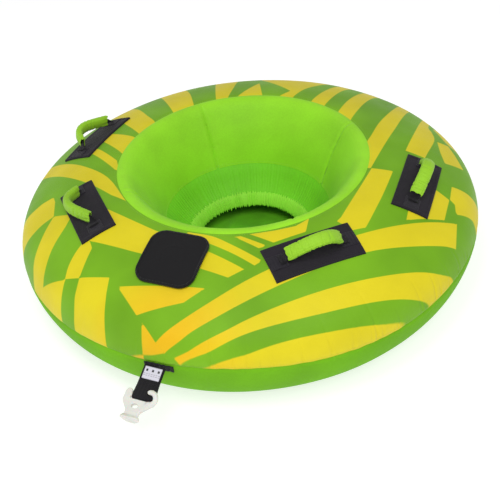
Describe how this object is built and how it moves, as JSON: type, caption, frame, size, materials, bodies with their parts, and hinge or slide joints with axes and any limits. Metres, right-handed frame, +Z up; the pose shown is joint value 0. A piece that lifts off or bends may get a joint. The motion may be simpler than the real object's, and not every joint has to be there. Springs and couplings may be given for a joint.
{
  "type": "towable tube",
  "caption": "Round open-top inflatable water tube with a sewn cloth cover, seat well, padded grab handles, covered valve and a tow strap with a quick connector.",
  "frame": {"origin": "centre of the flat underside, on the axis of the ring", "axes": "+Z up along the ring's axis; the tow strap is on the -Y side, +X to its right seen from above with -Y down"},
  "size_m": [1.22, 1.3488, 0.3719],
  "materials": {
    "printed_nylon": "printed woven nylon, slight sheen",
    "lime_nylon": "plain woven nylon, slight sheen",
    "floor_nylon": "plain woven nylon",
    "elastic": "covered elastic cord",
    "seam_tape": "woven tape",
    "bladder_vinyl": "soft vinyl sheet",
    "valve_plastic": "moulded, satin",
    "valve_rubber": "moulded rubber",
    "hook_and_loop": "hook and loop tape",
    "black_pad": "black foam-backed cloth with stitched edges",
    "black_webbing": "woven polyester webbing",
    "sleeve_cloth": "gathered nylon sleeve",
    "foam": "closed-cell foam",
    "label_cloth": "plain woven label",
    "white_nylon": "moulded nylon, slightly milky"
  },
  "bodies": {
    "tube": {"top_cover": "printed_nylon", "bottom_cover": "lime_nylon", "floor_panel": "floor_nylon", "well_panel_front": "lime_nylon", "well_panel_right": "lime_nylon", "well_panel_back": "lime_nylon", "well_panel_left": "lime_nylon", "well_lower_panel": "lime_nylon", "well_hem": "lime_nylon", "well_elastic_cord": "elastic", "outer_seam_tape": "seam_tape", "rim_seam_tape": "seam_tape", "bladder_upper_sheet": "bladder_vinyl", "bladder_lower_sheet": "bladder_vinyl", "valve_base": "valve_plastic", "valve_insert": "valve_plastic", "flap_loop_patch": "hook_and_loop", "handle_pad_front_left": "black_pad", "handle_pad_front_right": "black_pad", "handle_pad_rear_left": "black_pad", "handle_pad_rear_right": "black_pad", "handle_anchor_front_left": "black_webbing", "handle_anchor_front_right": "black_webbing", "handle_anchor_rear_left": "black_webbing", "handle_anchor_rear_right": "black_webbing", "tow_strap_anchor": "black_webbing", "tow_strap_reinforcement": "black_webbing"},
    "handle_front_left": {"handle_sleeve_front_left": "sleeve_cloth", "handle_core_front_left": "foam", "handle_webbing_front_left": "black_webbing"},
    "handle_front_right": {"handle_sleeve_front_right": "sleeve_cloth", "handle_core_front_right": "foam", "handle_webbing_front_right": "black_webbing"},
    "handle_rear_left": {"handle_sleeve_rear_left": "sleeve_cloth", "handle_core_rear_left": "foam", "handle_webbing_rear_left": "black_webbing"},
    "handle_rear_right": {"handle_sleeve_rear_right": "sleeve_cloth", "handle_core_rear_right": "foam", "handle_webbing_rear_right": "black_webbing"},
    "valve_flap": {"valve_flap": "black_pad", "flap_hook_patch": "hook_and_loop"},
    "valve_gasket": {"valve_gasket": "valve_rubber"},
    "valve_cap": {"valve_cap": "valve_plastic"},
    "valve_diaphragm": {"valve_diaphragm": "valve_rubber"},
    "tow_strap": {"tow_strap": "black_webbing", "strap_label": "label_cloth"},
    "tow_connector": {"tow_connector": "white_nylon"}
  },
  "joints": [
    {"name": "handle_front_left_swing", "type": "hinge", "parent": "tube", "child": "handle_front_left", "pos_m": [-0.29911, -0.31082, 0.32836], "axis": [0.7206, -0.6934, 0], "range_deg": [-140, 5]},
    {"name": "handle_front_right_swing", "type": "hinge", "parent": "tube", "child": "handle_front_right", "pos_m": [0.29911, -0.31082, 0.32836], "axis": [0.7206, 0.6934, 0], "range_deg": [-90, 55]},
    {"name": "handle_rear_left_swing", "type": "hinge", "parent": "tube", "child": "handle_rear_left", "pos_m": [-0.4644, 0.02109, 0.31841], "axis": [-0.0454, -0.999, 0], "range_deg": [-130, 15]},
    {"name": "handle_rear_right_swing", "type": "hinge", "parent": "tube", "child": "handle_rear_right", "pos_m": [0.4644, 0.02109, 0.31841], "axis": [-0.0454, 0.999, 0], "range_deg": [-75, 70]},
    {"name": "valve_flap_lift", "type": "hinge", "parent": "tube", "child": "valve_flap", "pos_m": [0, -0.34812, 0.32453], "axis": [-1, 0, 0], "range_deg": [0, 105]},
    {"name": "valve_cap_lift", "type": "slide", "parent": "tube", "child": "valve_gasket", "axis": [0, -0.2365, 0.9716], "range_m": [0, 0.00145]},
    {"name": "valve_cap_turn", "type": "hinge", "parent": "valve_gasket", "child": "valve_cap", "pos_m": [0, -0.42, 0.30905], "axis": [0, -0.2365, 0.9716], "range_deg": [0, 252]},
    {"name": "valve_diaphragm_open", "type": "slide", "parent": "tube", "child": "valve_diaphragm", "axis": [0, 0.2365, -0.9716], "range_m": [0, 0.002], "stiffness_N_per_m": 60},
    {"name": "tow_strap_swing", "type": "hinge", "parent": "tube", "child": "tow_strap", "pos_m": [0.028, -0.6144, 0.162], "axis": [1, 0, 0], "range_deg": [-99, 46]},
    {"name": "tow_connector_swing", "type": "hinge", "parent": "tow_strap", "child": "tow_connector", "pos_m": [0.028, -0.67835, 0.13353], "axis": [1, 0, 0], "range_deg": [0, 86]}
  ],
  "couplings": [
    {"joint": "valve_cap_lift", "follows": "valve_cap_turn", "m_per_rad": 0.00031831}
  ]
}
